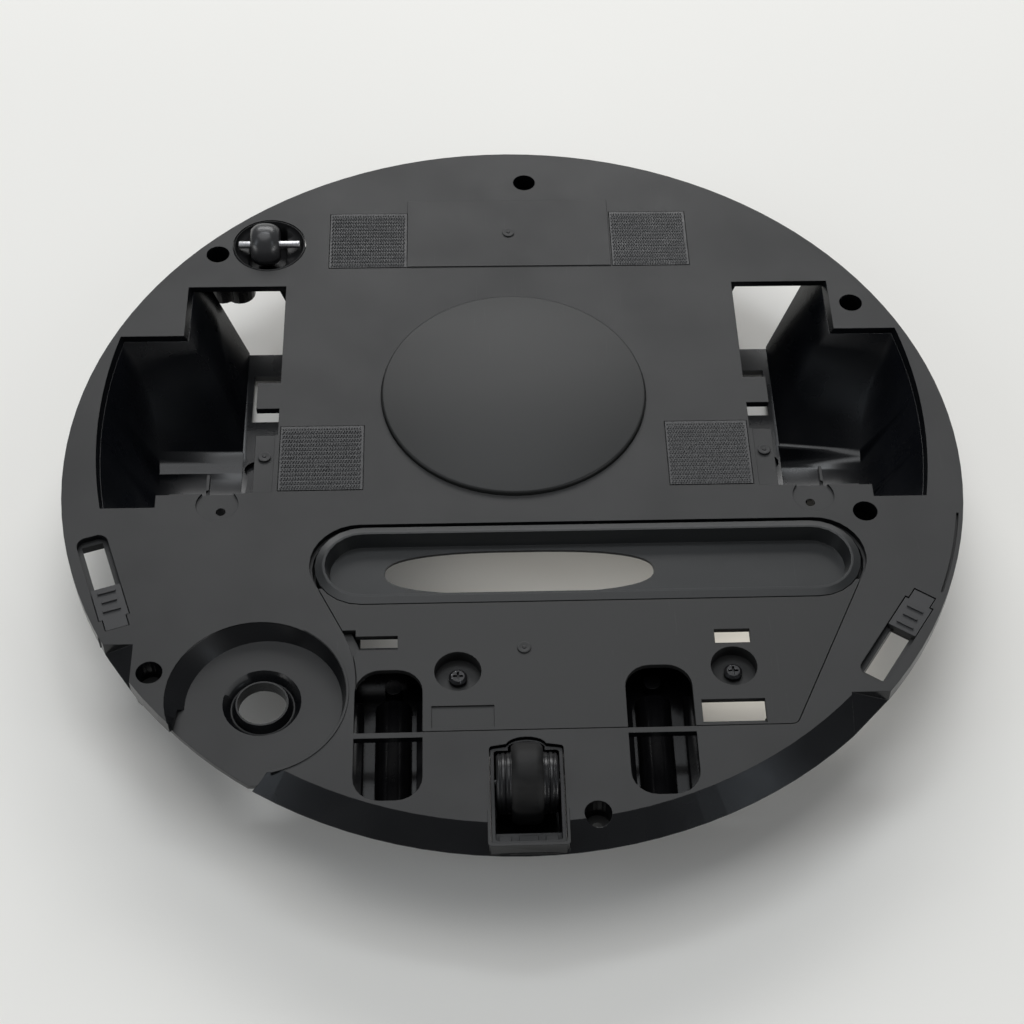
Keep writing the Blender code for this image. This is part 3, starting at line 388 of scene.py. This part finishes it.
def hook_field(node, seed, material):
    """Rows of hooks on one square patch, each row leaning the other way."""
    low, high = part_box(node)
    count = int((high.x - low.x - 2 * HOOK_MARGIN) / HOOK_PITCH)
    draw = random.Random(seed)
    bm = bmesh.new()
    for row in range(count + 1):
        for column in range(count + 1):
            shift = HOOK_PITCH / 2 if row % 2 else 0
            x = low.x + HOOK_MARGIN + column * HOOK_PITCH + shift
            y = low.y + HOOK_MARGIN + row * HOOK_PITCH
            if x > high.x - HOOK_MARGIN:
                continue
            row_heading = 45 + 180 * (row % 2)
            heading = math.radians(
                row_heading + draw.uniform(-HOOK_OFF_HEADING, HOOK_OFF_HEADING)
            )
            off_line = draw.uniform(-1, 1) * HOOK_OFF_LINE * MM
            spot = Vector((x + off_line, y, high.z - HOOK_SINK))
            hook(bm, spot, heading, draw.uniform(*HOOK_HEIGHTS) * MM, HOOK_LEAN)
    return add_piece(f"{node}_hooks", bm, material)


def turned(bm, center, profile, steps):
    """Adds a surface turned about a vertical axis from (radius, z) pairs."""
    rings = []
    for radius, z in profile:
        ring = []
        for i in range(steps):
            angle = 2 * math.pi * i / steps
            x, y = center[0] + radius * math.cos(angle), center[1] + radius * math.sin(angle)
            ring.append(bm.verts.new((x, y, z)))
        rings.append(ring)
    for inner, outer in zip(rings, rings[1:]):
        for i in range(steps):
            j = (i + 1) % steps
            bm.faces.new((inner[i], inner[j], outer[j], outer[i]))
    bm.faces.new(rings[-1])
    bm.faces.new(list(reversed(rings[0])))


def gate_mark(name, x, y, z, material):
    """The small sunken ring that an injection gate leaves."""
    bm = bmesh.new()
    base = z - 0.3 * MM
    profile = [
        (2.3 * MM, base),
        (2.3 * MM, z + 0.02 * MM),
        (1.9 * MM, z + 0.14 * MM),
        (1.5 * MM, z + 0.02 * MM),
        (0.7 * MM, z + 0.02 * MM),
        (0.5 * MM, z + 0.2 * MM),
        (0.1 * MM, z + 0.2 * MM),
    ]
    turned(bm, (x, y), profile, GATE_STEPS)
    return add_piece(name, bm, material, smooth=GATE_SMOOTH)


# ---------- dressing ----------


def dress():
    """Gives every CAD node its finish, and returns the two materials that small_marks uses."""
    shell = textured_shell()
    cover = satin_cover(
        "cover_plastic", (0.009, 0.0092, 0.009), (0.012, 0.0122, 0.012), 0.46, 0.54
    )
    cap = satin_cover("cap_plastic", (0.011, 0.0115, 0.0112), (0.014, 0.0145, 0.0142), 0.46, 0.54)
    mouth = satin_cover(
        "mouth_plastic", (0.012, 0.013, 0.0135), (0.018, 0.019, 0.0195), 0.24, 0.34
    )
    gloss = gloss_black(
        "gloss_black", (0.0015, 0.002, 0.003), (0.004, 0.0045, 0.006), 0.24, 0.32, specular=0.42
    )
    tray = gloss_black(
        "tray_plastic", (0.0012, 0.0012, 0.0015), (0.003, 0.003, 0.0035), 0.2, 0.3, specular=0.2
    )
    castor = gloss_black(
        "castor_plastic", (0.003, 0.003, 0.0033), (0.007, 0.007, 0.0075), 0.32, 0.44, specular=0.26
    )
    roller = gloss_black(
        "roller_plastic", (0.007, 0.007, 0.0075), (0.012, 0.012, 0.0125), 0.26, 0.36
    )
    # The rear roller's dark plastic is coloured paler here: a painted sheen that stands in for its
    # highlight.
    roller_painted_sheen = gloss_black(
        "roller_painted_sheen", (0.02, 0.02, 0.021), (0.032, 0.032, 0.033), 0.24, 0.34, specular=0.5
    )
    slider = satin_cover("slider_plastic", (0.02, 0.02, 0.021), (0.026, 0.026, 0.027), 0.4, 0.5)
    patch = hook_nylon("patch_base", (0.008, 0.008, 0.009), (0.013, 0.013, 0.014))
    hooks = hook_nylon("patch_hooks", (0.05, 0.05, 0.051), (0.075, 0.075, 0.076))
    tread = rubber()
    steel = turned_steel()
    screw = dark_screw()
    # The mostly flat pieces take a small angle: with a wide one, the flats beside their corners
    # shade as if they were bent.
    refined("bottom_shell", shell, "base", angle=12, flats=True)
    refined("mouth_cover", cover, "base", angle=16, flats=True)
    refined("round_cap", cap, "base", CURVED)
    refined("suction_mouth", mouth, "base", angle=24, flats=True)
    refined("rear_roller_cup", castor, "base", CURVED)
    refined("castor_housing", castor, "base", angle=12, flats=True)
    refined("front_roller", roller, "front_wheel", CURVED, bevel=0.25 * MM)
    refined("front_roller_tread", tread, "front_wheel", CURVED, bevel=0.5 * MM)
    refined("front_axle", screw, "base", CURVED)
    refined("rear_roller", roller_painted_sheen, "rear_wheel", CURVED, bevel=0.2 * MM)
    refined("rear_axle", steel, "base", CURVED, bevel=0.2 * MM)
    for side in ("left", "right"):
        latch = f"{side}_latch"
        refined(f"wheel_arch_{side}", gloss, "base", angle=30)
        refined(f"contact_tray_{side}", tray, "base", angle=14, flats=True)
        refined(f"cover_screw_{side}", screw, "base", CURVED)
        for node, finish in (("latch_slider", slider), ("latch_foot", castor)):
            refined(
                f"{node}_{side}",
                finish,
                latch,
                CURVED,
                bevel=0.25 * MM,
                flats=True,
            )
    patches = sorted(node for node in NODES if node.startswith("hook_patch"))
    for seed, node in enumerate(patches):
        paint(node, patch)
        hook_field(node, seed, hooks)
    return shell, cover


def small_marks(shell, cover):
    top = PLATE_TOP
    gate_mark("gate_mark_rear", 0, 114 * MM, top + 0.35 * MM, shell)
    gate_mark("gate_mark_cover", 0.5 * MM, -84 * MM, top, cover)
    for label, x in (("left", -89.5 * MM), ("right", 89.5 * MM)):
        gate_mark(f"gate_mark_{label}", x, 1 * MM, top, shell)


# ---------- stage ----------


def floor():
    bm = bmesh.new()
    bmesh.ops.create_grid(bm, x_segments=2, y_segments=2, size=FLOOR_HALF)
    mesh = bpy.data.meshes.new("floor")
    bm.to_mesh(mesh)
    bm.free()
    obj = bpy.data.objects.new("floor", mesh)
    bpy.context.scene.collection.objects.link(obj)
    s = Shader("floor_paper", 0.9, specular=0.1)
    s.set("Base Color", s.mix(s.noise(3, 2), (0.87, 0.855, 0.815), (0.89, 0.875, 0.835)))
    mesh.materials.append(s.done())


def area_light(name, spot, target, size, power, color=(1, 1, 1)):
    data = bpy.data.lights.new(name, "AREA")
    data.shape = "RECTANGLE"
    data.size, data.size_y = size
    data.energy = power
    data.color = color
    obj = bpy.data.objects.new(name, data)
    obj.location = spot
    toward = Vector(target) - Vector(spot)
    obj.rotation_euler = toward.to_track_quat("-Z", "Y").to_euler()
    bpy.context.scene.collection.objects.link(obj)


def lights():
    middle = (0, 0, 0.04)
    window = (0.82, 0.91, 1)
    area_light("softbox_rear", (0.05, 2.0, 1.35), middle, (2.2, 0.9), 33)
    area_light("softbox_top", (-0.15, 0.25, 1.9), middle, (1.4, 1.4), 11.5, (0.97, 0.985, 1))
    area_light("strip_top", (0, 0.8, 1.9), middle, (0.9, 0.2), 3.2, (0.9, 0.95, 1))
    area_light("window_left", (-1.5, -0.6, 1.2), middle, (0.4, 0.9), 3, window)
    area_light("window_right", (1.3, -0.9, 1.3), middle, (0.3, 0.7), 1.6, window)
    area_light("low_fill_right", (1.3, -0.95, 0.3), (0.1, -0.1, 0.02), (0.9, 0.25), 5)
    area_light("low_fill_left", (-1.4, -0.7, 0.3), (-0.1, -0.1, 0.02), (0.9, 0.25), 3.5)
    # Two faint lights under the base, so that the table shows through its openings
    area_light(
        "under_glow",
        (0.008, -0.032, 0.028),
        (0.008, -0.01, 0),
        (0.08, 0.04),
        0.004,
        (1, 0.98, 0.93),
    )
    area_light(
        "under_glow_right",
        (0.085, -0.06, 0.027),
        (0.085, -0.05, 0),
        (0.05, 0.04),
        0.009,
        (1, 0.96, 0.88),
    )
    world = bpy.data.worlds.new("studio")
    world.use_nodes = True
    background = world.node_tree.nodes["Background"]
    background.inputs["Color"].default_value = (0.95, 0.97, 1, 1)
    background.inputs["Strength"].default_value = 0.2
    bpy.context.scene.world = world


def camera():
    down, turn, roll = (math.radians(a) for a in (CAMERA_DOWN, CAMERA_TURN, CAMERA_ROLL))
    forward = Vector((0, math.cos(down), -math.sin(down)))
    right = Vector((1, 0, 0))
    up = right.cross(forward)
    leaning_right = math.cos(roll) * right + math.sin(roll) * up
    leaning_up = -math.sin(roll) * right + math.cos(roll) * up
    axes = Matrix((leaning_right, leaning_up, -forward)).transposed()
    data = bpy.data.cameras.new("camera")
    data.lens = CAMERA_LENS
    data.sensor_width = 36
    data.shift_x, data.shift_y = CAMERA_SHIFT
    data.clip_start = 0.01
    obj = bpy.data.objects.new("camera", data)
    obj.matrix_world = (
        Matrix.Translation(CAMERA_SPOT) @ (Matrix.Rotation(-turn, 3, "Z") @ axes).to_4x4()
    )
    bpy.context.scene.collection.objects.link(obj)
    bpy.context.scene.camera = obj


shell_material, cover_material = dress()
small_marks(shell_material, cover_material)
floor()
lights()
camera()
bpy.context.scene.view_settings.view_transform = "Standard"
